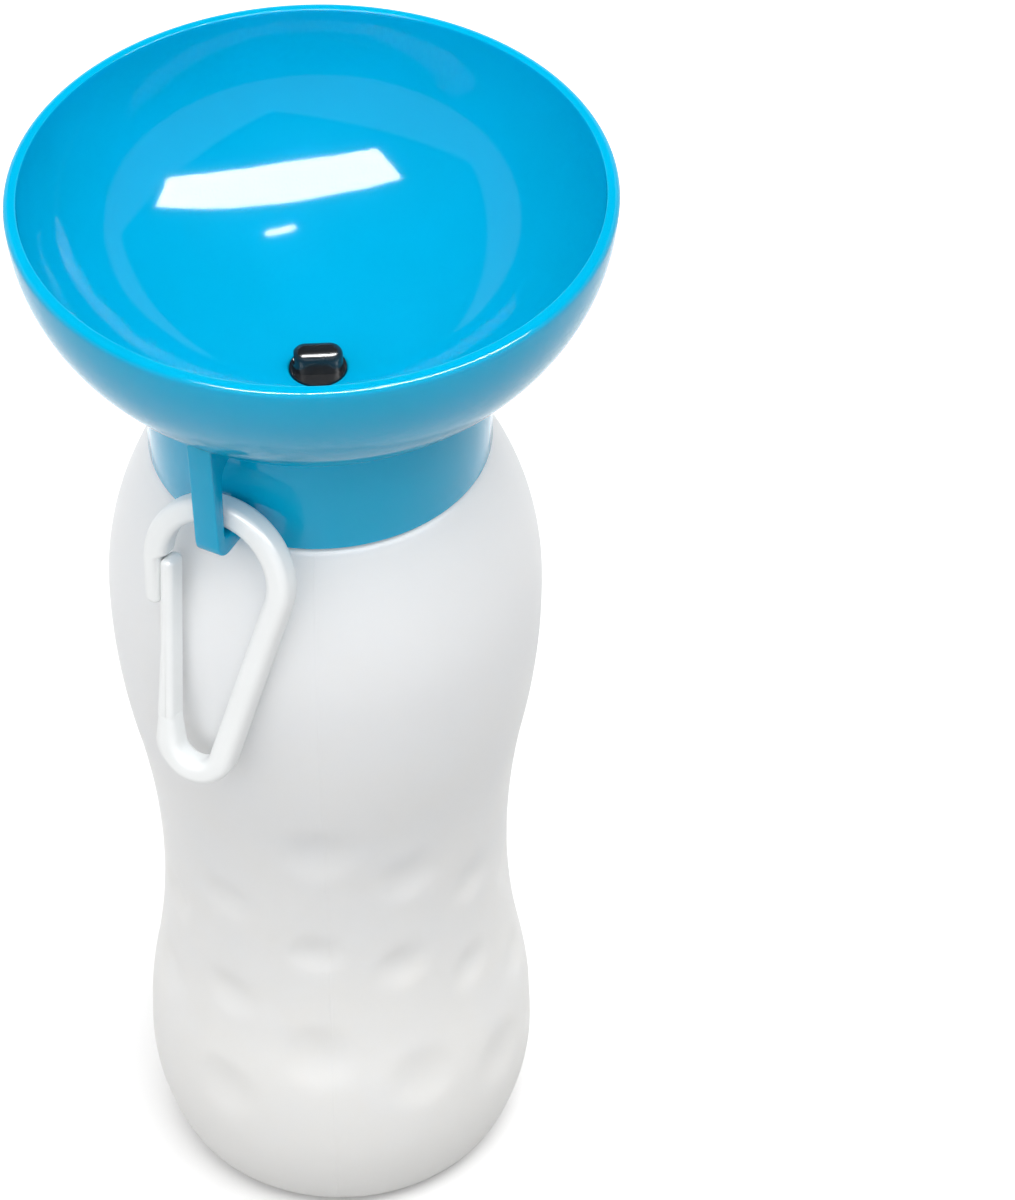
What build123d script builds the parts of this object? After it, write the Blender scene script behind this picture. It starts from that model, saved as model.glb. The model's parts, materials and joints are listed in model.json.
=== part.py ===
from build123d import *
from math import acos, asin, atan2, cos, degrees, pi, radians, sin, sqrt, tan
import os

# Dog travel water bottle: a squeeze bottle whose lid is a drinking bowl.
# Millimetres, +Z up, origin at the centre of the standing face. The clip eye
# is on the -Y side. Azimuths are counted from -Y towards +X.

# ---------------------------------------------------------------- bottle
bottle_height = 202.4       # standing face to the sealing edge of the mouth
bottle_wall = 1.5
neck_radius = 29.9          # outside of the mouth, the closure's thread not counted
neck_ledge = 2.7            # from the neck out to where the shoulder begins
neck_length = 19.4          # mouth to the ledge at the shoulder's top
neck_ledge_rise = 1.0
shoulder_radius = 42.3
shoulder_drop = 35.5        # ledge to the shoulder's widest level
waist_radius = 34.9
waist_height = 74.0
hip_radius = 39.5
hip_height = 24.0
shoulder_share = 0.45       # part of the shoulder-to-waist run that bulges
waist_share = 0.62          # part of the waist-to-hip run that is hollow
heel_radius = 50.0
heel_edge_radius = 7.0
base_ring_radius = 26.0     # inner edge of the flat standing ring
base_push_up = 5.0
dimple_depth = 1.3

# Dimples of one mould half: azimuth, height and radius of each mouth.
dimples = [
    (24, 107, 6.6), (22, 76, 4.6), (22, 48, 6.8),
    (-10, 86, 5.0), (-9, 59, 4.8), (-9, 34, 6.0),
    (-38, 73, 5.0), (-41, 51, 5.2), (53, 96, 6.0),
    (51, 70, 5.0), (55, 39, 6.4), (80, 84, 5.0),
    (78, 60, 4.6), (86, 32, 6.0), (108, 72, 5.0),
    (106, 48, 4.6), (115, 27, 5.0),
]

# ------------------------------------------------- bowl, collar, clip eye
bowl_radius = 57.0
bowl_depth = 45.6           # outside, rim to lowest point
bowl_wall = 2.4
rim_outer_round = 1.2
rim_inner_round = 0.25
thread_room = 1.6           # between neck and collar, for the closure's thread
collar_wall = 1.5
collar_length = 19.8        # gasket land to the collar's lower edge
land_width = 4.13           # gasket's land, collar wall to the bowl's outer face
collar_root = 6.0           # collar wall runs this far up into the bowl's wall
eye_width = 5.0             # the strap and the web of the eye
strap_thickness = 2.3       # at its foot
strap_slope = 1.9           # how far it leans out, half way up the bowl's depth
strap_corner_radius = 4.0
eye_reach = 8.2             # width of the slot between collar and strap
eye_web_height = 4.2
eye_web_rise = 2.9          # web's underside above the collar's lower edge
eye_opening = 17.9          # height of the slot above the web
eye_arch_radius = 3.5
eye_seat_radius = 1.0

# ----------------------------------------------------------- seals, valve
gasket_thickness = 1.6
gasket_width = 3.4
gasket_clearance = 0.3
gasket_round = 0.5
seat_gap = 0.03
stem_radius = 5.45
stem_clearance = 0.05
hub_wall = 2.1
hub_run = 1.0               # hub runs this far into the floor, and its cone this far up
bore_depth = 14.8           # bowl floor to the partition
partition_thickness = 2.0
port_radius = 1.4
port_offset = 2.0
port_azimuth = -60
valve_seat_thickness = 1.2
grip_length = 9.6
grip_width = 5.0
grip_height = 4.6
grip_round = 1.8
stem_rise = 0.4             # stem's top above the lowest point of the floor
bead_height = 1.2
bead_lead = 0.4             # height of its lead-in slope
bead_reach = 0.4
bead_play = 0.12
bead_depth = 4.0            # bowl floor to the middle of the snap bead
o_ring_section = 0.65       # radius of its cord
o_ring_depth = 8.0
o_ring_touch = 0.02
groove_play = 0.065         # above and below it in its groove

# --------------------------------------------------------------- dip tube
tube_radius = 4.0
tube_bore = 3.0
tube_fit = 0.03
socket_depth = 10.0
plenum_height = 2.0
plenum_radius = 3.5
socket_wall = 2.0
tube_floor_gap = 4.0
tube_slant = 4.0

# ------------------------------------------------------------------- clip
clip_length = 64.0
clip_top_radius = 15.5      # outer radius of the wide end
clip_foot_radius = 7.5
clip_bar = 4.8              # bar width, seen from the front
clip_depth = 5.6            # bar depth, front to back
clip_bar_round = 2.2
clip_tilt = 3.0             # hangs this many degrees to one side
clip_shift = 0.8
clip_gap = 0.15             # least gap between its top bar and the eye's web
clip_rest_gap = 0.6         # its back to the bottle's shoulder
clip_rest_half = 7.0        # its bars meet the shoulder this far off the middle
nose_drop = 24.5            # end of the nose below the top bar
gate_bar = 2.8
gate_depth = 5.0
gate_bar_round = 0.5
gate_tip_round = 0.8
gate_tip_drop = 14.5
gate_tip_offset = 10.9      # middle of the tip from the clip's middle line
gate_root_drop = 49.0
gate_root_gap = 0.12
gate_tip_gap = 0.6
gate_side_gap = 0.3
leg_end_drop = 0.6          # end of the fixed leg below the gate's pivot

# ------------------------------------------------------ derived positions
neck_foot_radius = neck_radius + neck_ledge
neck_foot_height = bottle_height - neck_length
shoulder_height = neck_foot_height - shoulder_drop
collar_inner = neck_radius + thread_room
collar_radius = collar_inner + collar_wall
land_height = bottle_height + gasket_thickness
land_inner_radius = collar_inner - land_width
land_share = land_inner_radius / bowl_radius
rim_height = land_height + bowl_depth * sqrt(1 - land_share ** 2)
collar_foot = land_height - collar_length
floor_height = rim_height - bowl_depth + bowl_wall
bore_radius = stem_radius + stem_clearance
bore_foot = floor_height - bore_depth
partition_foot = bore_foot - partition_thickness
tube_top = partition_foot - plenum_height
hub_foot = tube_top - socket_depth
tube_foot = base_push_up + bottle_wall + tube_floor_gap
stem_foot = bore_foot + valve_seat_thickness + seat_gap
stem_top = floor_height + stem_rise
outlet_height = stem_top + grip_height / 2
bead_foot = floor_height - bead_depth - bead_height / 2
bead_top = bead_foot + bead_height
groove_height = floor_height - o_ring_depth
o_ring_radius = stem_radius + o_ring_touch - o_ring_section
groove_radius = o_ring_radius - o_ring_section - o_ring_touch
groove_half = o_ring_section + groove_play
port_turn = radians(port_azimuth)
port_direction = Vector(sin(port_turn), -cos(port_turn), 0)

web_foot = collar_foot + eye_web_rise
web_top = web_foot + eye_web_height
strap_top = rim_height - bowl_depth / 2
strap_inner_radius = collar_radius + eye_reach
strap_foot_radius = strap_inner_radius + strap_thickness
strap_top_radius = strap_foot_radius + strap_slope
eye_root_radius = collar_radius - collar_wall / 2

# Middle line of the clip's bar: two arcs and their common tangents.
top_arc = clip_top_radius - clip_bar / 2
foot_arc = clip_foot_radius - clip_bar / 2
foot_centre = -(clip_length - clip_bar / 2 - clip_foot_radius)
leg_angle = asin((top_arc - foot_arc) / (-top_arc - foot_centre))
top_tangent = (top_arc * cos(leg_angle), -top_arc - top_arc * sin(leg_angle))
foot_tangent = (foot_arc * cos(leg_angle), foot_centre - foot_arc * sin(leg_angle))

# The clip turns about its top bar, in the middle of the eye's slot, and leans
# on the shoulder: its middle plane is a tangent to the shoulder's arc.
bar_sag = top_arc - sqrt(top_arc ** 2 - (eye_width / 2) ** 2)
clip_hinge_radius = collar_radius + eye_reach / 2
clip_hinge_height = web_top + clip_gap + clip_depth / 2 + bar_sag
shoulder_run = shoulder_radius - neck_foot_radius
shoulder_arc = (shoulder_run ** 2 + shoulder_drop ** 2) / (2 * shoulder_run)
shoulder_sag = shoulder_radius - sqrt(shoulder_radius ** 2 - clip_rest_half ** 2)
hinge_out = clip_hinge_radius - shoulder_radius + shoulder_arc
hinge_up = clip_hinge_height - shoulder_height
hinge_distance = sqrt(hinge_out ** 2 + hinge_up ** 2)
plane_distance = shoulder_arc + clip_depth / 2 + clip_rest_gap - shoulder_sag
clip_lean = atan2(hinge_up, hinge_out) - acos(plane_distance / hinge_distance)
lean_plane = Plane(
    origin=(clip_shift, -clip_hinge_radius, clip_hinge_height),
    x_dir=(1, 0, 0),
    z_dir=(0, -cos(clip_lean), sin(clip_lean)),
)
clip_plane = Plane(lean_plane.location * Location((0, 0, 0), (0, 0, -clip_tilt)))


def leg_point(drop):
    """Point of the gate-side leg's middle line, this far below the top bar."""
    return (-top_tangent[0] + (drop + top_tangent[1]) * tan(leg_angle), -drop)


gate_root = leg_point(gate_root_drop)
gate_rise = gate_root_drop - gate_tip_drop
gate_turn = atan2(gate_tip_offset + gate_root[0], gate_rise)
gate_reach = gate_rise / cos(gate_turn)
gate_plane = Plane(
    clip_plane.location
    * Location((gate_root[0], gate_root[1], 0), (0, 0, degrees(gate_turn)))
)


def blend_point(top, bottom, share):
    """Where two arcs meet on the run between two upright tangents."""
    return (top[0] + share * (bottom[0] - top[0]), top[1] + share * (bottom[1] - top[1]))


def blend_radius(height, top, bottom, share):
    """Radius at a height on such a run."""
    across = top[0] - bottom[0]
    drop = top[1] - bottom[1]
    span = (across ** 2 + drop ** 2) / (2 * across)
    if height > top[1] - share * drop:
        arc = abs(span) * share
        sag = arc - sqrt(arc ** 2 - (top[1] - height) ** 2)
        return top[0] - (sag if across > 0 else -sag)
    arc = abs(span) * (1 - share)
    sag = arc - sqrt(arc ** 2 - (height - bottom[1]) ** 2)
    return bottom[0] + (sag if across > 0 else -sag)


def bottle_radius(height):
    """Outer radius of the bottle's dimpled lower half."""
    shoulder = (shoulder_radius, shoulder_height)
    waist = (waist_radius, waist_height)
    hip = (hip_radius, hip_height)
    if height > waist_height:
        return blend_radius(height, shoulder, waist, shoulder_share)
    return blend_radius(height, waist, hip, waist_share)


def bottle_section(inset, top):
    """Half section of the bottle, inset from its outer face, as a filled face."""
    hip = (hip_radius - inset, hip_height)
    waist = (waist_radius - inset, waist_height)
    shoulder = (shoulder_radius - inset, shoulder_height)
    ledge_slope = atan2(neck_ledge_rise, neck_ledge)
    ledge_inset = inset * tan((pi / 2 - ledge_slope) / 2)
    foot = (neck_foot_radius - inset, neck_foot_height - ledge_inset)
    neck = (neck_radius - inset, neck_foot_height + neck_ledge_rise - ledge_inset)
    heel_turn = asin((hip_height - inset) / heel_radius)
    heel = (hip[0] - heel_radius * (1 - cos(heel_turn)), inset)
    low = blend_point(waist, hip, waist_share)
    high = blend_point(shoulder, waist, shoulder_share)
    with BuildSketch(Plane.XZ) as section:
        with BuildLine():
            base = TangentArc(
                (0, base_push_up + inset), (base_ring_radius, inset), tangent=(1, 0)
            )
            Line(base @ 1, heel)
            TangentArc(hip, heel, tangent=(0, -1))
            hollow = TangentArc(waist, low, tangent=(0, -1))
            TangentArc(low, hip, tangent=hollow % 1)
            bulge = TangentArc(shoulder, high, tangent=(0, -1))
            TangentArc(high, waist, tangent=bulge % 1)
            TangentArc(shoulder, foot, tangent=(0, 1))
            Polyline(foot, neck, (neck[0], top), (0, top), base @ 0)
        make_face()
        corner = section.vertices().sort_by_distance((heel[0], heel[1], 0))[0]
        fillet(corner, radius=heel_edge_radius - inset)
    return section.sketch


def dimple_ball(azimuth, height, mouth, grow):
    """A ball that presses one dimple, grown by the wall for the inside."""
    ball = (mouth ** 2 + dimple_depth ** 2) / (2 * dimple_depth)
    reach = bottle_radius(height) + ball - dimple_depth
    turn = radians(azimuth)
    with Locations((reach * sin(turn), -reach * cos(turn), height)):
        Sphere(ball + grow, mode=Mode.SUBTRACT)


# ================================================================= bottle
# Inside of the bottle: follows the outside, dimples too, one wall in.
with BuildPart() as cavity:
    revolve(bottle_section(bottle_wall, land_height), axis=Axis.Z)
    for half in (0, 180):
        for azimuth, height, mouth in dimples:
            dimple_ball(azimuth + half, height, mouth, bottle_wall)

with BuildPart() as bottle:
    revolve(bottle_section(0, bottle_height), axis=Axis.Z)
    for half in (0, 180):
        for azimuth, height, mouth in dimples:
            dimple_ball(azimuth + half, height, mouth, 0)
    add(cavity.part, mode=Mode.SUBTRACT)

# =================================================================== bowl
# Bowl, threaded collar, clip eye and valve hub, moulded in one.
with BuildPart() as bowl:
    with BuildSketch(Plane.XZ):
        with BuildLine():
            side = EllipticalCenterArc(
                (0, rim_height), bowl_radius, bowl_depth, start_angle=270, arc_size=90
            )
            Polyline(side @ 1, (0, rim_height), side @ 0)
        make_face()
    revolve(axis=Axis.Z)
    # Collar wall, and the land that the gasket seals on.
    with BuildSketch(Plane.XZ):
        with BuildLine():
            Polyline(
                (land_inner_radius, land_height),
                (collar_inner, land_height),
                (collar_inner, collar_foot),
                (collar_radius, collar_foot),
                (collar_radius, land_height + collar_root),
                (land_inner_radius, land_height + collar_root),
                close=True,
            )
        make_face()
    revolve(axis=Axis.Z)
    # Strap down from the bowl and web back to the collar, round the slot.
    with BuildSketch(Plane.YZ) as eye_side:
        with BuildLine():
            Polyline(
                (-strap_top_radius, strap_top),
                (-strap_foot_radius, web_foot),
                (-eye_root_radius, web_foot),
                (-eye_root_radius, strap_top),
                close=True,
            )
        make_face()
        with Locations((-eye_root_radius, web_top)):
            Rectangle(
                strap_inner_radius - eye_root_radius,
                eye_opening,
                align=(Align.MAX, Align.MIN),
                mode=Mode.SUBTRACT,
            )
        corners = eye_side.vertices()
        toe = corners.sort_by_distance((-strap_foot_radius, web_foot, 0))[0]
        arch = corners.sort_by_distance((-strap_inner_radius, web_top + eye_opening, 0))[0]
        seat = corners.sort_by_distance((-strap_inner_radius, web_top, 0))[0]
        fillet(toe, radius=strap_corner_radius)
        fillet(arch, radius=eye_arch_radius)
        fillet(seat, radius=eye_seat_radius)
    extrude(amount=eye_width / 2, both=True)
    # Valve hub and tube socket under the floor.
    with BuildSketch(Plane.XZ):
        with BuildLine():
            Polyline(
                (0, hub_foot),
                (tube_radius + socket_wall, hub_foot),
                (tube_radius + socket_wall, partition_foot - hub_run),
                (bore_radius + hub_wall, partition_foot + hub_run),
                (bore_radius + hub_wall, floor_height + hub_run),
                (0, floor_height + hub_run),
                close=True,
            )
        make_face()
    revolve(axis=Axis.Z)
    # Inside of the bowl.
    with BuildSketch(Plane.XZ):
        with BuildLine():
            inner_side = EllipticalCenterArc(
                (0, rim_height),
                bowl_radius - bowl_wall,
                bowl_depth - bowl_wall,
                start_angle=270,
                arc_size=90,
            )
            Polyline(inner_side @ 1, (0, rim_height), inner_side @ 0)
        make_face()
    revolve(axis=Axis.Z, mode=Mode.SUBTRACT)
    # Stem bore with its snap groove, port, plenum and tube socket.
    with BuildSketch(Plane.XZ):
        with BuildLine():
            Polyline(
                (0, floor_height + hub_run),
                (bore_radius, floor_height + hub_run),
                (bore_radius, bead_top + bead_play),
                (bore_radius + bead_reach, bead_top + bead_play),
                (bore_radius + bead_reach, bead_foot - bead_play),
                (bore_radius, bead_foot - bead_play),
                (bore_radius, bore_foot),
                (0, bore_foot),
                close=True,
            )
        make_face()
        with BuildLine():
            Polyline(
                (0, partition_foot),
                (plenum_radius, partition_foot),
                (plenum_radius, tube_top),
                (tube_radius + tube_fit, tube_top),
                (tube_radius + tube_fit, hub_foot),
                (0, hub_foot),
                close=True,
            )
        make_face()
    revolve(axis=Axis.Z, mode=Mode.SUBTRACT)
    with BuildSketch(Plane.XY.offset(partition_foot)):
        with Locations(port_direction * port_offset):
            Circle(port_radius)
    extrude(amount=partition_thickness, mode=Mode.SUBTRACT)
    # The rim is flat on top, well rounded outside and crisp inside.
    for side, rounding in ((1, rim_outer_round), (0, rim_inner_round)):
        rim_edges = bowl.edges().filter_by(GeomType.CIRCLE).sort_by(Axis.Z)[-2:]
        fillet(rim_edges.sort_by(SortBy.LENGTH)[side], radius=rounding)

# ================================================================= gasket
with BuildPart() as lid_gasket:
    with BuildSketch(Plane.XZ) as gasket_section:
        with Locations((collar_inner - gasket_clearance, bottle_height + seat_gap)):
            Rectangle(
                gasket_width, gasket_thickness - 2 * seat_gap, align=(Align.MAX, Align.MIN)
            )
        fillet(gasket_section.vertices(), radius=gasket_round)
    revolve(axis=Axis.Z)

# =============================================================== dip tube
with BuildPart() as dip_tube:
    with BuildSketch(Plane.XY.offset(tube_top)):
        Circle(tube_radius)
        Circle(tube_bore, mode=Mode.SUBTRACT)
    extrude(amount=tube_foot - tube_slant - tube_top)
    # Cut on the slant, so that the foot can't seal against the base.
    slant_cut = Plane(
        origin=(0, 0, tube_foot + tube_slant / 2),
        z_dir=(-tube_slant / (2 * tube_radius), 0, 1),
    )
    split(bisect_by=slant_cut, keep=Keep.TOP)

# ================================================================== valve
with BuildPart() as valve_seat:
    with BuildSketch(Plane.XY.offset(bore_foot)):
        Circle(stem_radius)
        with Locations(port_direction * port_offset):
            Circle(port_radius, mode=Mode.SUBTRACT)
    extrude(amount=valve_seat_thickness)

# Stem with its O-ring groove and snap bead, and the grip on top.
with BuildPart() as valve_knob:
    with BuildSketch(Plane.XZ):
        with BuildLine():
            Polyline(
                (0, stem_foot),
                (stem_radius, stem_foot),
                (stem_radius, groove_height - groove_half),
                (groove_radius, groove_height - groove_half),
                (groove_radius, groove_height + groove_half),
                (stem_radius, groove_height + groove_half),
                (stem_radius, bead_foot),
                (stem_radius + bead_reach - stem_clearance, bead_foot + bead_lead),
                (stem_radius + bead_reach - stem_clearance, bead_top),
                (stem_radius, bead_top),
                (stem_radius, stem_top),
                (0, stem_top),
                close=True,
            )
        make_face()
    revolve(axis=Axis.Z)
    with BuildSketch(Plane.XY.offset(stem_top)):
        SlotOverall(grip_length, grip_width, rotation=port_azimuth - 90)
    grip = extrude(amount=grip_height)
    crown = valve_knob.faces().sort_by(Axis.Z)[-1]
    fillet(crown.edges(), radius=grip_round)
    # Water way: up beside the axis, then out of one end of the grip.
    with BuildSketch(Plane.XY.offset(stem_foot)):
        with Locations(port_direction * port_offset):
            Circle(port_radius)
    extrude(amount=outlet_height - stem_foot, mode=Mode.SUBTRACT)
    outlet = Plane(origin=Vector(0, 0, outlet_height), x_dir=(0, 0, 1), z_dir=port_direction)
    with BuildSketch(outlet.offset(port_offset - port_radius)):
        Circle(port_radius)
    extrude(amount=grip_length, mode=Mode.SUBTRACT)

with BuildPart() as valve_o_ring:
    with Locations((0, 0, groove_height)):
        Torus(o_ring_radius, o_ring_section)

# =================================================================== clip
# Hung by its wide end in the eye, it leans out over the shoulder.
with BuildPart() as carabiner_body:
    with BuildLine(clip_plane) as clip_path:
        Line(leg_point(nose_drop), leg_point(-top_tangent[1]))
        ThreePointArc(leg_point(-top_tangent[1]), (0, 0), top_tangent)
        Line(top_tangent, foot_tangent)
        ThreePointArc(foot_tangent, (0, foot_centre - foot_arc), leg_point(-foot_tangent[1]))
        Line(leg_point(-foot_tangent[1]), gate_root)
    clip_wire = clip_path.wires()[0]
    nose_end = Plane(origin=clip_wire @ 0, x_dir=clip_plane.z_dir, z_dir=clip_wire % 0)
    with BuildSketch(nose_end):
        RectangleRounded(clip_depth, clip_bar, clip_bar_round)
    sweep(path=clip_wire)
    # Step inside the nose for the gate's tip, and seat for its root.
    with BuildSketch(gate_plane):
        with Locations((-gate_bar / 2 - gate_side_gap, gate_reach + gate_tip_gap)):
            Rectangle(2 * clip_bar, gate_reach / 2, align=(Align.MIN, Align.MAX))
        Circle(gate_bar / 2 + gate_root_gap)
        with Locations((0, -leg_end_drop)):
            Rectangle(2 * clip_bar, clip_bar, align=(Align.CENTER, Align.MIN))
    extrude(amount=clip_depth, both=True, mode=Mode.SUBTRACT)

with BuildPart() as carabiner_gate:
    with BuildSketch(gate_plane) as gate_side:
        Rectangle(gate_bar, gate_reach, align=(Align.CENTER, Align.MIN))
        fillet(gate_side.vertices().sort_by(Axis.Y)[-2:], radius=gate_tip_round)
        Circle(gate_bar / 2)
    extrude(amount=gate_depth / 2, both=True)
    flats = carabiner_gate.faces().filter_by(gate_plane)
    fillet(flats.edges(), radius=gate_bar_round)

# ================================================================= output
os.makedirs("parts", exist_ok=True)
bottle.part.label = "bottle"
export_step(bottle.part, "parts/bottle.step")
bowl.part.label = "bowl"
export_step(bowl.part, "parts/bowl.step")
lid_gasket.part.label = "lid_gasket"
export_step(lid_gasket.part, "parts/lid_gasket.step")
dip_tube.part.label = "dip_tube"
export_step(dip_tube.part, "parts/dip_tube.step")
valve_seat.part.label = "valve_seat"
export_step(valve_seat.part, "parts/valve_seat.step")
valve_knob.part.label = "valve_knob"
export_step(valve_knob.part, "parts/valve_knob.step")
valve_o_ring.part.label = "valve_o_ring"
export_step(valve_o_ring.part, "parts/valve_o_ring.step")
carabiner_body.part.label = "carabiner_body"
export_step(carabiner_body.part, "parts/carabiner_body.step")
carabiner_gate.part.label = "carabiner_gate"
export_step(carabiner_gate.part, "parts/carabiner_gate.step")
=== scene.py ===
import json
from math import asin, atan2, copysign, cos, pi, radians, sin, sqrt, tau

import bmesh
import bpy
from bmesh.types import BMFace, BMVert
from mathutils import Matrix, Vector


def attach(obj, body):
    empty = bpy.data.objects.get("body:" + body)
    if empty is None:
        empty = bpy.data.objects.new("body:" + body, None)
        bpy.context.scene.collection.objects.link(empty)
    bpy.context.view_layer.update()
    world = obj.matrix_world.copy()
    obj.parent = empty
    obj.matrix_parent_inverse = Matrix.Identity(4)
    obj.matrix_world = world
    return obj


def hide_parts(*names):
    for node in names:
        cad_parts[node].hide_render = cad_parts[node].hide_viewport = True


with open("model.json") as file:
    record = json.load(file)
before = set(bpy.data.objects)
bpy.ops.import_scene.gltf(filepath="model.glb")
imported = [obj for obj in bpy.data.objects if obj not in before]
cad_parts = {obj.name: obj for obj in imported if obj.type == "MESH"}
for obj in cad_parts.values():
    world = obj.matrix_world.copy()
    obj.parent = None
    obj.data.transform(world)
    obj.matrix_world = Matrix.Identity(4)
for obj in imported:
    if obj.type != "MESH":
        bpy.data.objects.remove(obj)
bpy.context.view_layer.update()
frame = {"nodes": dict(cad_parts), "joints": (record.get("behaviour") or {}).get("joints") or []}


# ------------------------------------------------------------------ bottle
# The bottle is blow-moulded in milky low-density polyethylene, thin enough to
# squeeze. Its two mould halves leave a faint line down both sides, and round
# dimples give the lower half a grip.
bottle_height = 0.2024
bottle_wall = 0.0015
bottle_steps = 168
neck_radius = 0.0299
neck_fillet = 0.0004
neck_fillet_foot = 0.0008
neck_fillet_top = 0.0014
# Radius and height of the places that shape the outline, from the top.
neck_foot = (0.0326, 0.1830)
shoulder = (0.0423, 0.1475)
waist = (0.0349, 0.0740)
hip = (0.0395, 0.0240)
# How far down from one place to the next their two arcs meet.
shoulder_share = 0.45
waist_share = 0.62
heel_radius = 0.050
heel_edge = 0.007
standing_ring = 0.026
base_push_up = 0.005
# Azimuth in degrees, height and mouth radius, for one half of the bottle.
dimples = [
    (24, 0.107, 0.0066), (22, 0.076, 0.0046), (22, 0.048, 0.0068),
    (-10, 0.086, 0.0050), (-9, 0.059, 0.0048), (-9, 0.034, 0.0060),
    (-38, 0.073, 0.0050), (-41, 0.051, 0.0052), (53, 0.096, 0.0060),
    (51, 0.070, 0.0050), (55, 0.039, 0.0064), (80, 0.084, 0.0050),
    (78, 0.060, 0.0046), (86, 0.032, 0.0060), (108, 0.072, 0.0050),
    (106, 0.048, 0.0046), (115, 0.027, 0.0050),
]
dimple_depth = 0.0008
dimple_soft_edge = 1.3
dimple_fade = 1.5
# A dimple is pressed only into what lies this far out on its own side.
dimple_side = 0.02
parting_azimuth = 26.5
parting_half_width = 0.00035
parting_height = 0.0002
warm_foot = (0.85, 0.84, 0.815)
cool_top = (0.84, 0.85, 0.86)
tone_foot = 0.02
tone_top = 0.17
cloud_share = 0.5

up = Vector((0, 0, 1))
out = Vector((1, 0, 0))
weld_distance = 1e-6


def parts_of(geometry, kind):
    """The parts of an operator's result that are of one kind."""
    return [part for part in geometry if isinstance(part, kind)]


def outline_lines(mesh, end, *points):
    """Carry an outline on in straight lines to points of radius and height; gives its new end."""
    for radius, height in points:
        end = bmesh.ops.extrude_vert_indiv(mesh, verts=[end])["verts"][0]
        end.co = (radius, 0, height)
    return end


def outline_arc(mesh, end, radius, height, heading, steps):
    """Carry an outline on as an arc that leaves along heading; gives its end and heading."""
    run = Vector((radius, 0, height)) - end.co
    side = Vector((-heading.z, 0, heading.x))
    across = run.dot(side)
    centre = end.co + side * (run.length_squared / (2 * across))
    turn = 2 * atan2(across, run.dot(heading))
    swept = bmesh.ops.spin(
        mesh, geom=[end], cent=centre, axis=(0, -1, 0), angle=turn, steps=steps
    )
    new_end = parts_of(swept["geom_last"], BMVert)[0]
    return new_end, Matrix.Rotation(turn, 3, (0, -1, 0)) @ heading


def between(top, bottom, share):
    """The point at a share of the way from an upper place down to a lower one."""
    return (top[0] + share * (bottom[0] - top[0]), top[1] + share * (bottom[1] - top[1]))


def turn_round(mesh, steps):
    """Turn an outline once round the bottle's axis, and close its seam and poles."""
    bmesh.ops.spin(
        mesh,
        geom=mesh.verts[:] + mesh.edges[:],
        cent=(0, 0, 0),
        axis=(0, 0, 1),
        angle=tau,
        steps=steps,
        use_merge=True,
    )
    bmesh.ops.remove_doubles(mesh, verts=mesh.verts, dist=weld_distance)
    bmesh.ops.recalc_face_normals(mesh, faces=mesh.faces)


def press_dimple(mesh, azimuth, height, mouth):
    """Press a dimple straight in, with an edge that fades out."""
    aim = Vector((sin(azimuth), -cos(azimuth), 0))
    reach = mouth * dimple_soft_edge
    near = [
        vert for vert in mesh.verts
        if abs(vert.co.z - height) < reach and vert.co.dot(aim) > dimple_side
    ]
    for vert in near:
        outward = Vector((vert.co.x, vert.co.y, 0))
        sideways = outward.length * outward.angle(aim)
        away = sqrt(sideways ** 2 + (vert.co.z - height) ** 2) / reach
        if away < 1:
            vert.co -= aim * dimple_depth * (1 - away ** 2) ** dimple_fade


def set_inputs(node, values):
    """Set a node's sockets, by their names."""
    for socket, value in values.items():
        node.inputs[socket].default_value = value


def new_material(name):
    """A material made of nodes."""
    material = bpy.data.materials.new(name)
    material.use_nodes = True
    return material


def shader(material):
    """The node that holds a material's colour and gloss."""
    return material.node_tree.nodes["Principled BSDF"]


def moulded_skin(name, tones, tone_scale, roughness, grain_scale, grain_height):
    """A plastic whose tone and gloss drift a little in soft clouds, with a fine grain."""
    # The noise stays mostly between these two.
    noise_low = 0.3
    noise_high = 0.7
    gloss_drift = 0.12
    material = new_material(name)
    nodes = material.node_tree.nodes
    links = material.node_tree.links
    skin = shader(material)
    place = nodes.new("ShaderNodeTexCoord")
    place.name = "place"
    cloud = nodes.new("ShaderNodeTexNoise")
    cloud.name = "cloud"
    set_inputs(cloud, {"Scale": tone_scale, "Detail": 3})
    links.new(place.outputs["Object"], cloud.inputs["Vector"])
    tone = nodes.new("ShaderNodeValToRGB")
    tone.name = "tone"
    for stop, colour, share in zip(tone.color_ramp.elements, tones, (noise_low, noise_high)):
        stop.color = (*colour, 1)
        stop.position = share
    links.new(cloud.outputs["Fac"], tone.inputs["Fac"])
    links.new(tone.outputs["Color"], skin.inputs["Base Color"])
    gloss = nodes.new("ShaderNodeMapRange")
    set_inputs(gloss, {
        "From Min": noise_low,
        "From Max": noise_high,
        "To Min": roughness * (1 - gloss_drift),
        "To Max": roughness * (1 + gloss_drift),
    })
    links.new(cloud.outputs["Fac"], gloss.inputs["Value"])
    links.new(gloss.outputs["Result"], skin.inputs["Roughness"])
    grain = nodes.new("ShaderNodeTexNoise")
    grain.name = "grain"
    set_inputs(grain, {"Scale": grain_scale, "Detail": 2})
    links.new(place.outputs["Object"], grain.inputs["Vector"])
    grain_bump = nodes.new("ShaderNodeBump")
    grain_bump.name = "grain_bump"
    set_inputs(grain_bump, {"Strength": 0.15, "Distance": grain_height})
    links.new(grain.outputs["Fac"], grain_bump.inputs["Height"])
    links.new(grain_bump.outputs["Normal"], skin.inputs["Normal"])
    return material


def put_in_scene(name, data):
    """An object in the scene that holds a mesh, a lamp or the camera."""
    holder = bpy.data.objects.new(name, data)
    bpy.context.scene.collection.objects.link(holder)
    return holder


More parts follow.
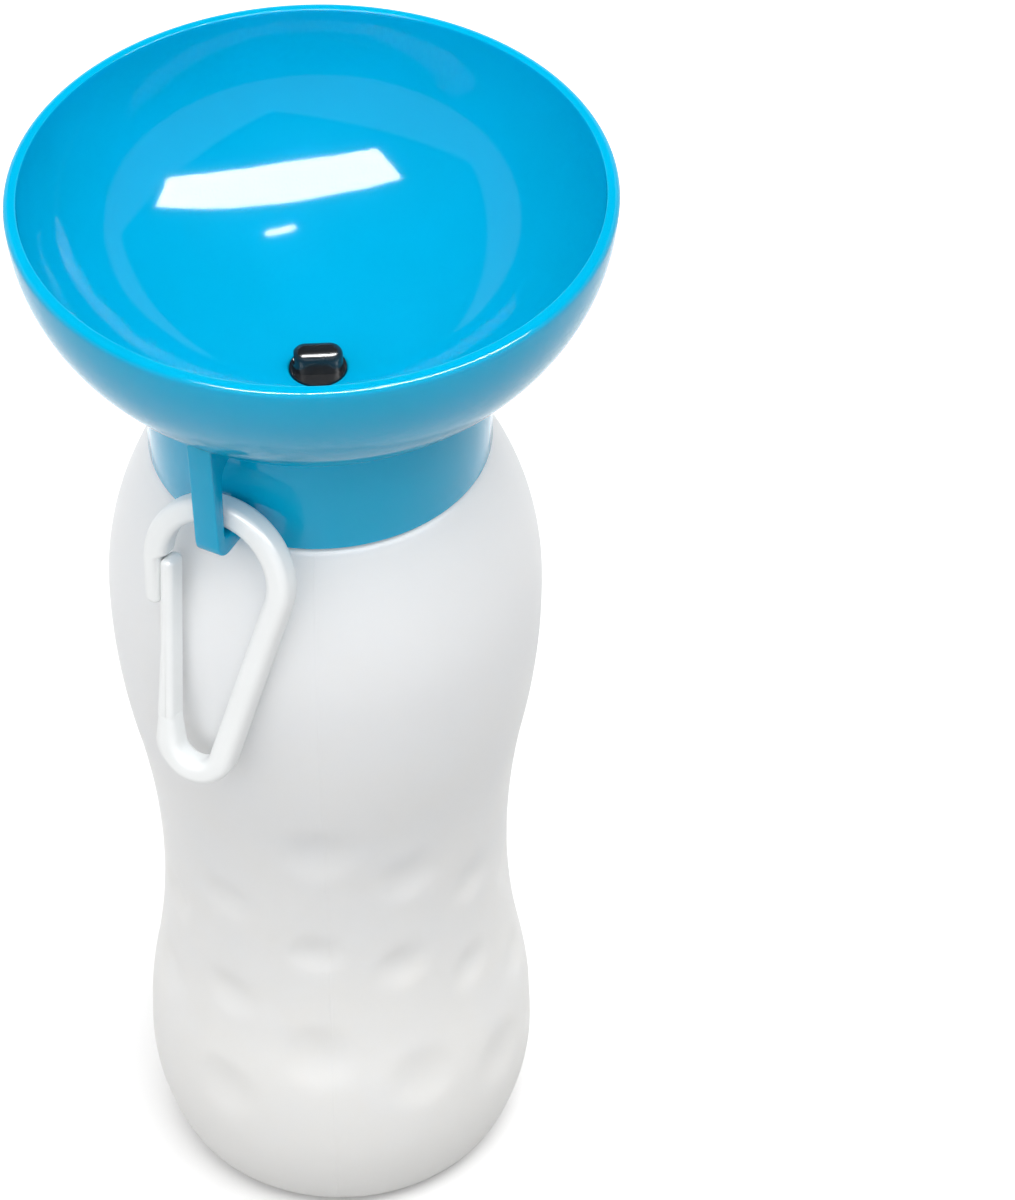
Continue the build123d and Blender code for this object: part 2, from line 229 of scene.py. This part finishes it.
def make_piece(mesh, name, material, body, node=None, sharp_angle=radians(40)):
    """Turn a finished bmesh into a piece, which may stand for a node of the frame."""
    for face in mesh.faces:
        face.smooth = True
    data = bpy.data.meshes.new(name)
    mesh.to_mesh(data)
    mesh.free()
    data.set_sharp_from_angle(angle=sharp_angle)
    data.materials.append(material)
    piece = put_in_scene(name, data)
    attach(piece, body)
    if node:
        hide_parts(node)
    return piece


# From the pushed-up middle of the base out to the ring that it stands on.
mesh = bmesh.new()
end = mesh.verts.new((0, 0, base_push_up))
end, _ = outline_arc(mesh, end, standing_ring, 0, out, steps=14)

# The heel's edge is an arc that touches the floor and the heel's own arc.
centre_gap = heel_radius - heel_edge
edge_turn = asin((hip[1] - heel_edge) / centre_gap)
edge_start = hip[0] - heel_radius + centre_gap * cos(edge_turn)
edge_end = (edge_start + heel_edge * cos(edge_turn), heel_edge - heel_edge * sin(edge_turn))
end = outline_lines(mesh, end, (edge_start, 0))
end, heading = outline_arc(mesh, end, *edge_end, out, steps=10)
end, _ = outline_arc(mesh, end, *hip, heading, steps=14)

# Hip, waist and shoulder are upright where they are widest or narrowest.
low = between(waist, hip, waist_share)
end, heading = outline_arc(mesh, end, *low, up, steps=16)
end, _ = outline_arc(mesh, end, *waist, heading, steps=24)
high = between(shoulder, waist, shoulder_share)
end, heading = outline_arc(mesh, end, *high, up, steps=30)
end, _ = outline_arc(mesh, end, *shoulder, heading, steps=24)
end, _ = outline_arc(mesh, end, *neck_foot, up, steps=24)
outline_lines(
    mesh,
    end,
    (neck_radius + neck_fillet, neck_foot[1] + neck_fillet_foot),
    (neck_radius, neck_foot[1] + neck_fillet_top),
    (neck_radius, bottle_height),
)
turn_round(mesh, bottle_steps)
for azimuth, height, mouth in dimples:
    for half_turn in (0, pi):
        press_dimple(mesh, radians(azimuth) + half_turn, height, mouth)

# Light goes a little way into the milky plastic, and its face is satin from the
# blasted mould.
frosted = moulded_skin(
    "frosted_polyethylene",
    tones=(warm_foot, cool_top),
    tone_scale=60,
    roughness=0.38,
    grain_scale=1400,
    grain_height=0.0001,
)
set_inputs(shader(frosted), {
    "IOR": 1.51,
    "Specular IOR Level": 0.1,
    "Subsurface Weight": 0.5,
    "Subsurface Radius": (1.0, 0.95, 0.9),
    "Subsurface Scale": 0.004,
})
nodes = frosted.node_tree.nodes
links = frosted.node_tree.links
parting_turn = nodes.new("ShaderNodeMapping")
set_inputs(parting_turn, {"Rotation": (0, 0, -radians(parting_azimuth))})
links.new(nodes["place"].outputs["Object"], parting_turn.inputs["Vector"])
distances = nodes.new("ShaderNodeSeparateXYZ")
links.new(parting_turn.outputs["Vector"], distances.inputs["Vector"])

# The tone goes from the warm foot to the cool top, in soft clouds.
rise = nodes.new("ShaderNodeMapRange")
set_inputs(rise, {"From Min": tone_foot, "From Max": tone_top, "To Max": 1 - cloud_share})
links.new(distances.outputs["Z"], rise.inputs["Value"])
drift = nodes.new("ShaderNodeMath")
drift.operation = "MULTIPLY_ADD"
drift.inputs[1].default_value = cloud_share
links.new(nodes["cloud"].outputs["Fac"], drift.inputs[0])
links.new(rise.outputs["Result"], drift.inputs[2])
links.new(drift.outputs[0], nodes["tone"].inputs["Fac"])

# The parting line stands out by a hair where the two mould halves met.
off_line = nodes.new("ShaderNodeMath")
off_line.operation = "ABSOLUTE"
links.new(distances.outputs["X"], off_line.inputs[0])
line = nodes.new("ShaderNodeMapRange")
line.interpolation_type = "SMOOTHSTEP"
set_inputs(line, {"From Min": parting_half_width, "From Max": 0.0})
links.new(off_line.outputs[0], line.inputs["Value"])
line_bump = nodes.new("ShaderNodeBump")
set_inputs(line_bump, {"Strength": 0.22, "Distance": parting_height})
links.new(line.outputs["Result"], line_bump.inputs["Height"])
links.new(nodes["grain_bump"].outputs["Normal"], line_bump.inputs["Normal"])
links.new(line_bump.outputs["Normal"], shader(frosted).inputs["Normal"])

bottle = make_piece(
    mesh,
    "bottle_shell",
    frosted,
    body="bottle",
    node="bottle",
    sharp_angle=radians(50),
)
shell_wall = bottle.modifiers.new("wall", "SOLIDIFY")
shell_wall.thickness = bottle_wall
shell_wall.offset = -1
shell_wall.use_even_offset = True


# ------------------------------------------------------------------ thread
# The neck's thread is moulded with the bottle, in the same polyethylene: a
# ridge wound one turn and a half. The collar's thread runs in its groove, and
# both climb at the lift of the cap's joint.
thread_pitch = 0.0042333
thread_root = 0.0020
thread_crest = 0.0012
thread_bury = 0.0004
thread_lead = 0.3
thread_steps = 72
neck_thread_height = 0.0011
neck_thread_turns = 1.5
neck_thread_foot = 0.1944


def fill_outline(mesh, end, first):
    """Close an outline from its end to its first point; gives the face in it."""
    mesh.edges.new((end, first))
    filled = bmesh.ops.contextual_create(mesh, geom=mesh.verts[:] + mesh.edges[:])
    return filled["faces"][0]


def wind_thread(mesh, wall, height, foot, start, turns):
    """Wind a ridge up a wall from a foot; a negative height winds it on the inside."""
    sunk = wall - copysign(thread_bury, height)
    first = mesh.verts.new((sunk, 0, foot - thread_root / 2))
    end = outline_lines(
        mesh,
        first,
        (wall + height, foot - thread_crest / 2),
        (wall + height, foot + thread_crest / 2),
        (sunk, foot + thread_root / 2),
    )
    section = fill_outline(mesh, end, first)
    bmesh.ops.rotate(mesh, cent=(0, 0, 0), matrix=Matrix.Rotation(start, 3, "Z"), verts=mesh.verts)
    swept = bmesh.ops.spin(
        mesh,
        geom=[section, *section.edges],
        cent=(0, 0, 0),
        axis=(0, 0, 1),
        dvec=(0, 0, thread_pitch / thread_steps),
        angle=tau * turns,
        steps=int(thread_steps * turns),
    )
    # Both ends run out into the wall.
    for tip in (section, parts_of(swept["geom_last"], BMFace)[0]):
        middle = tip.calc_center_median()
        turn = atan2(middle.y, middle.x)
        root = Matrix.Rotation(turn, 4, "Z") @ Matrix.Translation((sunk, 0, middle.z))
        scale = (thread_lead, 1, thread_lead)
        bmesh.ops.scale(mesh, vec=scale, space=root.inverted(), verts=tip.verts)
    bmesh.ops.recalc_face_normals(mesh, faces=mesh.faces)


mesh = bmesh.new()
wind_thread(
    mesh,
    wall=neck_radius,
    height=neck_thread_height,
    foot=neck_thread_foot,
    start=0,
    turns=neck_thread_turns,
)
make_piece(mesh, "bottle_thread", frosted, body="bottle")


# -------------------------------------------------------------------- bowl
# The lid is a drinking bowl, its threaded collar, the hub under its floor and
# the eye for the clip, injection-moulded in one piece of glossy blue
# polypropylene.
bowl_radius = 0.057
bowl_depth = 0.0456
bowl_wall = 0.0024
bowl_steps = 192
rim_height = 0.244
rim_outer_round = 0.0012
rim_inner_round = 0.00025
# The bowl's inner curve starts this far below the rim, at this share of its radius.
inner_start_drop = 0.0011
inner_start_share = 0.99965
# The collar, and the land over it that the gasket lies against.
collar_radius = 0.033
collar_inner = 0.0315
collar_foot = 0.1842
collar_chamfer = 0.0003
collar_foot_round = 0.0005
gasket_land = 0.204
land_inner = 0.0274
# The hub, from the knob's bore down to the socket for the tube.
bore_radius = 0.0055
bore_foot = 0.186
bore_mouth_round = 0.0006
partition_foot = 0.184
socket_top = 0.182
hub_foot = 0.172
hub_radius = 0.0076
hub_flare = 0.001
socket_radius = 0.006
socket_bore = 0.00403
plenum_radius = 0.0035
# The eye: a strap down from the bowl, a web in to the collar, and an arched
# opening between them.
eye_width = 0.005
eye_edge = 0.00025
eye_root_inset = 0.0013
strap_top = 0.04515
strap_foot = 0.0435
strap_lean = 0.00027
strap_corner = 0.004
strap_corner_trim = 0.0003
strap_inner = 0.0412
web_foot = 0.1871
web_top = 0.1913
arch_top = 0.2092
arch_radius = 0.0035
arch_inner = 0.0366
seat_radius = 0.001
collar_thread_height = 0.0010
collar_thread_foot = 0.19316
collar_thread_start = radians(45)
collar_thread_turns = 1


def bowl_height(radius, inset=0):
    """Height of the bowl's outer face, or of a face inset from it, at a radius."""
    return rim_height - (bowl_depth - inset) * sqrt(1 - (radius / (bowl_radius - inset)) ** 2)


def bowl_curve(mesh, end, last_radius, steps, inset=0):
    """Carry an outline along the bowl's ellipse to a radius, by equal turns."""
    first = asin(end.co.x / (bowl_radius - inset))
    last = asin(last_radius / (bowl_radius - inset))
    for step in range(1, steps + 1):
        radius = (bowl_radius - inset) * sin(first + (last - first) * step / steps)
        end = outline_lines(mesh, end, (radius, bowl_height(radius, inset)))
    return end


def pull_face(mesh, face, run):
    """Extrude a face along a run; gives its new face."""
    pulled = bmesh.ops.extrude_face_region(mesh, geom=[face, *face.edges])["geom"]
    new_face = parts_of(pulled, BMFace)[0]
    bmesh.ops.translate(mesh, verts=new_face.verts, vec=run)
    return new_face


def round_off(mesh, parts, offset, affect, segments):
    """Round edges, or the corners of a face, by an offset."""
    bmesh.ops.bevel(
        mesh,
        geom=parts,
        offset=offset,
        offset_type="OFFSET",
        affect=affect,
        segments=segments,
        profile=0.5,
        material=-1,
    )


def join_into(mesh, part):
    """Add a closed part to a mesh; the part is used up."""
    data = bpy.data.meshes.new("part")
    part.to_mesh(data)
    part.free()
    mesh.from_mesh(data)
    bpy.data.meshes.remove(data)


# Under the bowl: the plenum, the socket for the tube, and the hub round them.
mesh = bmesh.new()
end = mesh.verts.new((0, 0, partition_foot))
end = outline_lines(
    mesh,
    end,
    (plenum_radius, partition_foot),
    (plenum_radius, socket_top),
    (socket_bore, socket_top),
    (socket_bore, hub_foot),
    (socket_radius, hub_foot),
    (socket_radius, partition_foot - hub_flare),
    (hub_radius, partition_foot + hub_flare),
    (hub_radius, bowl_height(hub_radius)),
)
end = bowl_curve(mesh, end, land_inner, steps=10)

# The land for the gasket, the collar, and the bowl's outer face up to the rim.
end = outline_lines(
    mesh,
    end,
    (collar_inner, gasket_land),
    (collar_inner, collar_foot + collar_chamfer),
    (collar_inner + collar_chamfer, collar_foot),
    (collar_radius - collar_foot_round, collar_foot),
)
end, _ = outline_arc(mesh, end, collar_radius, collar_foot + collar_foot_round, out, steps=4)
end = outline_lines(mesh, end, (collar_radius, bowl_height(collar_radius)))
rim_share = sqrt(1 - (rim_outer_round / bowl_depth) ** 2)
end = bowl_curve(mesh, end, bowl_radius * rim_share, steps=44)

# Over the rim, down the inner face, and into the knob's bore.
end, _ = outline_arc(mesh, end, bowl_radius - rim_outer_round, rim_height, up, steps=8)
rim_inner = bowl_radius - bowl_wall
end = outline_lines(mesh, end, (rim_inner + rim_inner_round, rim_height))
end, _ = outline_arc(mesh, end, rim_inner, rim_height - rim_inner_round, -out, steps=4)
end = outline_lines(mesh, end, (rim_inner * inner_start_share, rim_height - inner_start_drop))
end = bowl_curve(mesh, end, bore_radius + bore_mouth_round, steps=60, inset=bowl_wall)
bore_top = end.co.z - bore_mouth_round
end, _ = outline_arc(mesh, end, bore_radius, bore_top, -out, steps=5)
outline_lines(mesh, end, (bore_radius, bore_foot), (0, bore_foot))
turn_round(mesh, bowl_steps)

# The strap runs down from the bowl, turns in at its toe and meets the collar.
eye = bmesh.new()
first = eye.verts.new((strap_top, 0, bowl_height(strap_top, eye_root_inset)))
end = outline_lines(eye, first, (strap_foot + strap_lean, web_foot + strap_corner))
down = (end.co - first.co).normalized()
corner_end = strap_foot - strap_corner + strap_corner_trim
end, _ = outline_arc(eye, end, corner_end, web_foot, down, steps=10)
in_collar = (collar_radius + collar_inner) / 2
end = outline_lines(
    eye,
    end,
    (in_collar, web_foot),
    (in_collar, web_top),
    (strap_inner - seat_radius, web_top),
)
end, _ = outline_arc(eye, end, strap_inner, web_top + seat_radius, out, steps=4)
end = outline_lines(eye, end, (strap_inner, arch_top - arch_radius))
end, _ = outline_arc(eye, end, strap_inner - arch_radius, arch_top, up, steps=8)
end = outline_lines(
    eye,
    end,
    (arch_inner, arch_top),
    (arch_inner, bowl_height(arch_inner, eye_root_inset)),
)
near_side = fill_outline(eye, end, first)
bmesh.ops.translate(eye, verts=eye.verts, vec=(0, -eye_width / 2, 0))
far_side = pull_face(eye, near_side, (0, eye_width, 0))
bmesh.ops.recalc_face_normals(eye, faces=eye.faces)
round_off(eye, [*near_side.edges, *far_side.edges], eye_edge, affect="EDGES", segments=3)
bmesh.ops.rotate(eye, cent=(0, 0, 0), matrix=Matrix.Rotation(-pi / 2, 3, "Z"), verts=eye.verts)
join_into(mesh, eye)

ridge = bmesh.new()
wind_thread(
    ridge,
    wall=collar_inner,
    height=-collar_thread_height,
    foot=collar_thread_foot,
    start=collar_thread_start,
    turns=collar_thread_turns,
)
join_into(mesh, ridge)

# The polypropylene lets a little light through, so thin edges glow.
blue = moulded_skin(
    "blue_polypropylene",
    tones=((0.0, 0.36, 0.59), (0.0, 0.38, 0.63)),
    tone_scale=40,
    roughness=0.07,
    grain_scale=28,
    grain_height=0.0012,
)
set_inputs(shader(blue), {
    "IOR": 1.49,
    "Specular IOR Level": 0.18,
    "Subsurface Weight": 0.3,
    "Subsurface Radius": (0.2, 0.8, 1.0),
    "Subsurface Scale": 0.003,
})
make_piece(mesh, "bowl_shell", blue, body="cap", node="bowl")


# -------------------------------------------------------------------- clip
# The clip is one moulding of white acetal that hangs in the eye: a flat-sided
# bar bent round on itself, thinned at one end into a gate that springs at its
# root and shuts inside the nose.
clip_length = 0.064
clip_top_radius = 0.0155
clip_foot_radius = 0.0083
clip_bar = 0.0048
clip_depth = 0.0056
clip_edge = 0.0017
edge_steps = 7
# It hangs a little tilted, and a little to one side.
clip_tilt = radians(3)
clip_shift = 0.0008
# The step and the nose under it, by their drop below the top of the bar.
step_drop = 0.0138
step_run = 0.0008
nose_drop = 0.0245
nose_round = 0.0010
nose_gap = 0.00012
nose_steps = 5
# The gate, and the root that it springs from.
gate_bar = 0.0028
gate_depth = 0.0050
gate_edge = 0.0011
gate_tip_drop = 0.0145
gate_tip_offset = 0.0104
gate_tip_round = 0.0012
gate_flare_top = 0.015
gate_knuckle = 0.0022
knuckle_steps = 8
root_cover = 0.00004
root_steps = 5

# The clip's own axes: across it, into it and up it, from its top bar's middle.
joints = {joint["name"]: joint for joint in frame["joints"]}
clip_out = -Vector(joints["gate_open"]["axis"])
lean_up = clip_out.cross(out)
clip_across = cos(clip_tilt) * out - sin(clip_tilt) * lean_up
clip_up = clip_out.cross(clip_across)
clip_middle = Vector(joints["carabiner_swing"]["pos_m"]) + clip_shift * out
clip_axes = Matrix((clip_across, -clip_out, clip_up)).transposed()
clip_place = Matrix.Translation(clip_middle) @ clip_axes.to_4x4()

# The bar's middle line: an arc over the top, one round the foot, and two legs.
top_arc = clip_top_radius - clip_bar / 2
foot_arc = clip_foot_radius - clip_bar / 2
top_middle = -top_arc * up
foot_middle = (clip_bar / 2 + clip_foot_radius - clip_length) * up
leg_angle = asin((top_arc - foot_arc) / (top_middle.z - foot_middle.z))
leg_turn = Matrix.Rotation(-leg_angle, 4, "Y")
leg_top = top_middle - leg_turn @ out * top_arc

# The gate springs at its root and leans out to its tip.
gate_root = clip_place.inverted() @ Vector(joints["gate_open"]["pos_m"])
gate_rise = -gate_tip_drop - gate_root.z
gate_angle = atan2(gate_tip_offset + gate_root.x, gate_rise)
gate_reach = gate_rise / cos(gate_angle)
gate_place = Matrix.Translation(gate_root) @ Matrix.Rotation(-gate_angle, 4, "Y")


def bend_bar(mesh, end, middle, turn, steps):
    """Carry a bar's end face round a bend; gives its new end face."""
    swept = bmesh.ops.spin(
        mesh, geom=[end, *end.edges], cent=middle, axis=(0, 1, 0), angle=turn, steps=steps
    )
    return parts_of(swept["geom_last"], BMFace)[0]


def narrow_bar(mesh, end, kept, across, depth):
    """Scale a bar's end face about a kept point, across the leg and in depth."""
    leg = Matrix.Translation(kept) @ leg_turn
    bmesh.ops.scale(mesh, vec=(across, depth, 1), space=leg.inverted(), verts=end.verts)


def leg_point(drop):
    """The middle of the gate side's leg, at a drop below the top bar."""
    return leg_top - leg_turn @ up * ((drop + leg_top.z) / cos(leg_angle))


# The bar starts as its own section, at the step above the gate's tip.
mesh = bmesh.new()
bmesh.ops.create_grid(mesh, x_segments=1, y_segments=1, size=1)
bmesh.ops.scale(mesh, vec=(clip_bar / 2, clip_depth / 2, 1), verts=mesh.verts)
round_off(mesh, mesh.verts[:], clip_edge, affect="VERTICES", segments=edge_steps)
step_face = mesh.faces[:][0]
step_angle = asin((step_drop - top_arc) / top_arc)
step_turn = Matrix.Rotation(-step_angle, 4, "Y")
step_place = Matrix.Translation(top_middle - step_turn @ out * top_arc) @ step_turn
bmesh.ops.transform(mesh, matrix=step_place, verts=mesh.verts)

# Over the top, down the long side, round the foot, and up to the gate's root.
end = bend_bar(mesh, step_face, top_middle, pi + leg_angle + step_angle, steps=56)
far_leg = Matrix.Rotation(leg_angle, 4, "Y") @ out
end = pull_face(mesh, end, foot_middle - top_middle + far_leg * (foot_arc - top_arc))
end = bend_bar(mesh, end, foot_middle, pi - 2 * leg_angle, steps=40)
root_bar = gate_knuckle + gate_bar / 2 + 2 * root_cover
root_middle = gate_place @ (out * (gate_bar / 2 - gate_knuckle) / 2)
root_run = (root_middle - end.calc_center_median()) / root_steps
root_narrowing = (root_bar / clip_bar) ** (1 / root_steps)
root_thinning = ((gate_depth + 2 * root_cover) / clip_depth) ** (1 / root_steps)
for _ in range(root_steps):
    end = pull_face(mesh, end, root_run)
    narrow_bar(mesh, end, end.calc_center_median(), root_narrowing, root_thinning)

# Down from the step, the nose is what the gate leaves of the bar.
end = step_face
last_bar = clip_bar
for drop in (step_drop + step_run, nose_drop - nose_round):
    outer_side = leg_point(drop) - leg_turn @ out * (clip_bar / 2)
    nose_bar = -(gate_place.inverted() @ outer_side).x - gate_bar / 2 - nose_gap
    new_middle = outer_side + leg_turn @ out * (nose_bar / 2)
    end = pull_face(mesh, end, new_middle - end.calc_center_median())
    narrow_bar(mesh, end, new_middle, nose_bar / last_bar, 1)
    last_bar = nose_bar

# The nose's tip is rounded by a quarter turn.
last_inset = 0
for step in range(1, nose_steps + 1):
    turn = step / nose_steps * pi / 2
    inset = nose_round * (1 - cos(turn))
    run = nose_round * (sin(turn) - sin(turn - pi / 2 / nose_steps))
    end = pull_face(mesh, end, leg_turn @ up * -run)
    narrow_bar(
        mesh,
        end,
        end.calc_center_median(),
        (nose_bar - 2 * inset) / (nose_bar - 2 * last_inset),
        (clip_depth - 2 * inset) / (clip_depth - 2 * last_inset),
    )
    last_inset = inset
bmesh.ops.recalc_face_normals(mesh, faces=mesh.faces)
bmesh.ops.transform(mesh, matrix=clip_place, verts=mesh.verts)

white = moulded_skin(
    "white_acetal",
    tones=((0.83, 0.845, 0.845), (0.86, 0.875, 0.875)),
    tone_scale=90,
    roughness=0.36,
    grain_scale=900,
    grain_height=0.0001,
)
set_inputs(shader(white), {"IOR": 1.48, "Specular IOR Level": 0.3})
make_piece(
    mesh, "clip_body", white, body="carabiner", node="carabiner_body"
)

# The gate's knuckle turns inside the bar's end, so no gap opens behind it.
mesh = bmesh.new()
first = mesh.verts.new((-gate_knuckle, 0, 0))
end = first
for step in range(1, 2 * knuckle_steps + 1):
    turn = step / knuckle_steps * pi / 2
    reach = gate_knuckle if step <= knuckle_steps else gate_bar / 2
    end = outline_lines(mesh, end, (-reach * cos(turn), -gate_knuckle * sin(turn)))
tip_foot = gate_reach - gate_tip_round
end = outline_lines(mesh, end, (gate_bar / 2, tip_foot))
end, _ = outline_arc(mesh, end, gate_bar / 2 - gate_tip_round, gate_reach, up, steps=6)
end = outline_lines(mesh, end, (gate_tip_round - gate_bar / 2, gate_reach))
end, _ = outline_arc(mesh, end, -gate_bar / 2, tip_foot, -out, steps=6)
end = outline_lines(mesh, end, (-gate_bar / 2, gate_flare_top))
near_side = fill_outline(mesh, end, first)
bmesh.ops.translate(mesh, verts=mesh.verts, vec=(0, -gate_depth / 2, 0))
far_side = pull_face(mesh, near_side, (0, gate_depth, 0))
long_edges = [*near_side.edges, *far_side.edges]
round_off(mesh, long_edges, gate_edge, affect="EDGES", segments=edge_steps)
bmesh.ops.recalc_face_normals(mesh, faces=mesh.faces)
bmesh.ops.transform(mesh, matrix=clip_place @ gate_place, verts=mesh.verts)
make_piece(mesh, "clip_gate", white, body="gate", node="carabiner_gate")


# ------------------------------------------------------------------- valve
# The knob is moulded in black acetal. Its stem turns in the hub and opens or
# shuts the port under it.
def clothe(names, material):
    """Put a material on nodes that keep their shape from the frame."""
    for name in names:
        frame["nodes"][name].data.materials.clear()
        frame["nodes"][name].data.materials.append(material)


black = moulded_skin(
    "black_acetal",
    tones=((0.011, 0.011, 0.012), (0.015, 0.015, 0.016)),
    tone_scale=120,
    roughness=0.22,
    grain_scale=1100,
    grain_height=0.0001,
)
clothe(["valve_knob"], black)


# ------------------------------------------------------------------- seals
# Gasket, valve seat and O-ring are moulded in soft off-white silicone, dull and
# a little dusty. Each sits between the two pieces that it seals.
silicone = moulded_skin(
    "silicone",
    tones=((0.56, 0.56, 0.54), (0.64, 0.64, 0.62)),
    tone_scale=150,
    roughness=0.5,
    grain_scale=1500,
    grain_height=0.0001,
)
clothe(["lid_gasket", "valve_seat", "valve_o_ring"], silicone)


# -------------------------------------------------------------------- tube
# The dip tube is extruded in natural polyethylene, which leaves faint lines
# along it, and pushed into the hub.
natural = moulded_skin(
    "natural_polyethylene",
    tones=((0.72, 0.75, 0.77), (0.78, 0.81, 0.83)),
    tone_scale=1,
    roughness=0.35,
    grain_scale=1,
    grain_height=0.0002,
)
nodes = natural.node_tree.nodes
links = natural.node_tree.links
drawn_out = nodes.new("ShaderNodeMapping")
set_inputs(drawn_out, {"Scale": (900, 900, 12)})
links.new(nodes["place"].outputs["Object"], drawn_out.inputs["Vector"])
for pattern in ("cloud", "grain"):
    links.new(drawn_out.outputs["Vector"], nodes[pattern].inputs["Vector"])
clothe(["dip_tube"], natural)


# --------------------------------------------------------------- the scene
# A white floor, soft light from above and in front, and the camera where the
# photograph's was.
floor_reach = 6
floor_tone = 0.9
floor_bounce = 0.3
ceiling_reach = 2.6
ceiling_height = 2.0
ceiling_tone = (0.03, 0.03, 0.03, 1)
strip_height = 1.43
fill_light = 0.62
camera_place = (0.4317, -0.7478, 0.9500)
camera_heading = (-0.33825, 0.64582, -0.68447)
camera_roll = radians(-0.525)
camera_lens = 180.9


def add_sheet(name, reach, height, material):
    """A level square of the stage, which reaches this far from its middle."""
    mesh = bmesh.new()
    bmesh.ops.create_grid(mesh, x_segments=1, y_segments=1, size=reach)
    data = bpy.data.meshes.new(name)
    mesh.to_mesh(data)
    mesh.free()
    data.materials.append(material)
    sheet = put_in_scene(name, data)
    sheet.location = (0, 0, height)
    return sheet


def add_sun(name, heading, power, spread):
    """A broad, even light that comes from a heading and is not seen in glossy faces."""
    lamp = bpy.data.lights.new(name, "SUN")
    lamp.energy = power
    lamp.angle = radians(spread)
    holder = put_in_scene(name, lamp)
    holder.rotation_euler = (-Vector(heading)).to_track_quat("-Z", "Y").to_euler()
    holder.visible_glossy = False


def add_strip(name, place, length, width, power, turn):
    """A strip light that faces down, is seen in glossy faces and lights nothing."""
    lamp = bpy.data.lights.new(name, "AREA")
    lamp.shape = "RECTANGLE"
    lamp.size = length
    lamp.size_y = width
    lamp.energy = power
    holder = put_in_scene(name, lamp)
    holder.location = place
    holder.rotation_euler.z = turn
    holder.visible_diffuse = False


# The floor looks white, and throws little light up at the object.
paper = new_material("white_paper")
set_inputs(shader(paper), {"Roughness": 0.9, "Specular IOR Level": 0.0})
nodes = paper.node_tree.nodes
links = paper.node_tree.links
ray = nodes.new("ShaderNodeLightPath")
shade = nodes.new("ShaderNodeMapRange")
set_inputs(shade, {"To Min": floor_tone, "To Max": floor_bounce})
links.new(ray.outputs["Is Diffuse Ray"], shade.inputs["Value"])
links.new(shade.outputs["Result"], shader(paper).inputs["Base Color"])
add_sheet("floor", floor_reach, 0, paper)

# A dark ceiling that only glossy faces see keeps the bowl's inside deep.
dark = new_material("dark_ceiling")
set_inputs(shader(dark), {
    "Base Color": ceiling_tone,
    "Roughness": 1.0,
    "Specular IOR Level": 0.0,
})
ceiling = add_sheet("ceiling", ceiling_reach, ceiling_height, dark)
ceiling.visible_camera = False
ceiling.visible_diffuse = False
ceiling.visible_shadow = False

add_sun("key_sun", heading=(0.35, 0.0, 1.0), power=1.8, spread=50)
add_sun("front_sun", heading=(0.0, -0.85, 0.65), power=1.3, spread=80)
add_sun("back_sun", heading=(-0.6, 0.6, 0.5), power=1.0, spread=80)

# These two make the bright streaks in the bowl.
add_strip(
    "strip", (0.70, -0.27, strip_height), length=2.5, width=0.48, power=240, turn=radians(40)
)
add_strip(
    "short_strip", (0.24, 0.0, strip_height), length=0.2, width=0.05, power=2, turn=radians(50)
)

# The world is white behind the object and in glossy faces, and dimmer as a light.
world = bpy.data.worlds.new("studio")
world.use_nodes = True
nodes = world.node_tree.nodes
links = world.node_tree.links
set_inputs(nodes["Background"], {"Color": (1, 1, 1, 1)})
ray = nodes.new("ShaderNodeLightPath")
seen = nodes.new("ShaderNodeMath")
seen.operation = "MAXIMUM"
links.new(ray.outputs["Is Camera Ray"], seen.inputs[0])
links.new(ray.outputs["Is Glossy Ray"], seen.inputs[1])
seen_through = nodes.new("ShaderNodeMath")
seen_through.operation = "MAXIMUM"
links.new(seen.outputs[0], seen_through.inputs[0])
links.new(ray.outputs["Is Transmission Ray"], seen_through.inputs[1])
strength = nodes.new("ShaderNodeMapRange")
set_inputs(strength, {"To Min": fill_light, "To Max": 1.0})
links.new(seen_through.outputs[0], strength.inputs["Value"])
links.new(strength.outputs["Result"], nodes["Background"].inputs["Strength"])
bpy.context.scene.world = world

camera_data = bpy.data.cameras.new("camera")
camera_data.sensor_width = 36
camera_data.lens = camera_lens
camera_data.clip_end = 20
camera = put_in_scene("camera", camera_data)
forward = Vector(camera_heading).normalized()
level_right = forward.cross(up).normalized()
level_up = level_right.cross(forward)
right = cos(camera_roll) * level_right + sin(camera_roll) * level_up
upward = cos(camera_roll) * level_up - sin(camera_roll) * level_right
axes = Matrix((right, upward, -forward)).transposed()
camera.matrix_world = Matrix.Translation(camera_place) @ axes.to_4x4()
bpy.context.scene.camera = camera
bpy.context.scene.view_settings.view_transform = "Standard"
